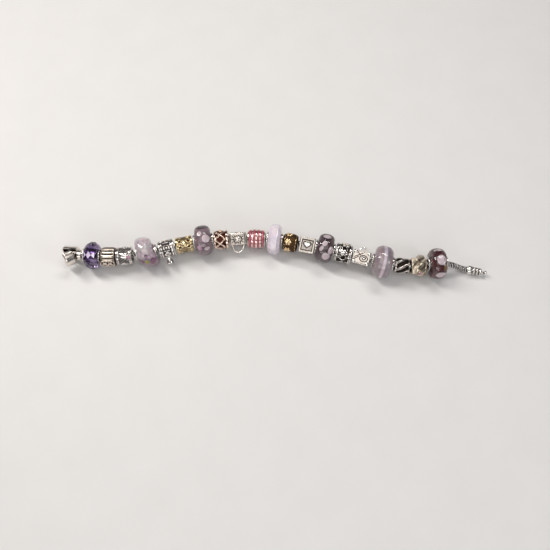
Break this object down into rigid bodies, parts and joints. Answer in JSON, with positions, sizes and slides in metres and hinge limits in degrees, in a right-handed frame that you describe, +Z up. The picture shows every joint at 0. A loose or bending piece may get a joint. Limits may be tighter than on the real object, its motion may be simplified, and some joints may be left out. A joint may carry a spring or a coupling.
{
  "type": "charm bracelet",
  "caption": "Unfastened charm bracelet laid out in a gentle curve: a snake chain of glass beads and cast metal charms, with an open barrel clasp and a threaded end.",
  "frame": {"origin": "centre of the bounding box, on the table it lies on", "axes": "+X along the bracelet from the clasp to the tip, +Y away from the viewer, +Z up"},
  "size_m": [0.1964, 0.0262, 0.0151],
  "materials": {
    "silver": "bright cast silver with oxidised recesses",
    "chain_silver": "fine snake chain, polished",
    "dark_silver": "heavily oxidised silver",
    "gold": "warm gold with dark recesses",
    "rose_gold": "rose gold with dark recesses",
    "purple_glass": "cut and polished",
    "pink_glass": "pearly, with an inner flower",
    "mauve_glass": "glossy, pale dots inside",
    "pale_glass": "cut, milky",
    "smoky_glass": "glossy, pink blobs inside",
    "grey_glass": "glossy, pale stripe inside",
    "maroon_glass": "glossy, pink petals inside",
    "enamel": "glossy red-pink enamel",
    "pink_stone": "small cut stone"
  },
  "bodies": {
    "bracelet": {"snake_chain": "chain_silver", "threaded_end": "silver", "clasp_body": "silver", "clasp_pin": "silver", "faceted_glass": "purple_glass", "faceted_glass_core": "silver", "pearl_glass": "pink_glass", "pearl_glass_core": "silver", "dotted_glass": "mauve_glass", "dotted_glass_core": "silver", "block_glass": "pale_glass", "block_glass_core": "silver", "blob_glass": "smoky_glass", "blob_glass_core": "silver", "cats_eye_glass": "grey_glass", "cats_eye_glass_core": "silver", "petal_glass": "maroon_glass", "petal_glass_core": "silver", "fluted_charm": "silver", "leaf_charm": "silver", "leaf_charm_stone": "pink_stone", "turret_charm": "silver", "drop_ring": "silver", "bell_drop": "silver", "star_charm": "gold", "lattice_charm": "rose_gold", "handbag_charm": "silver", "striped_charm": "silver", "enamel_band_1": "enamel", "enamel_band_2": "enamel", "enamel_band_3": "enamel", "enamel_band_4": "enamel", "blossom_charm": "gold", "square_charm": "silver", "heart_charm": "silver", "suitcase_charm": "silver", "knot_charm": "dark_silver", "folded_charm": "silver", "folded_charm_stone": "pink_stone"},
    "jaw": {"clasp_jaw": "silver"}
  },
  "joints": [
    {"name": "clasp_hinge", "type": "hinge", "parent": "bracelet", "child": "jaw", "pos_m": [-0.09325, -0.00152, 0.00602], "axis": [0.018, 0.3085, 0.9511], "range_deg": [-38, 20]}
  ]
}
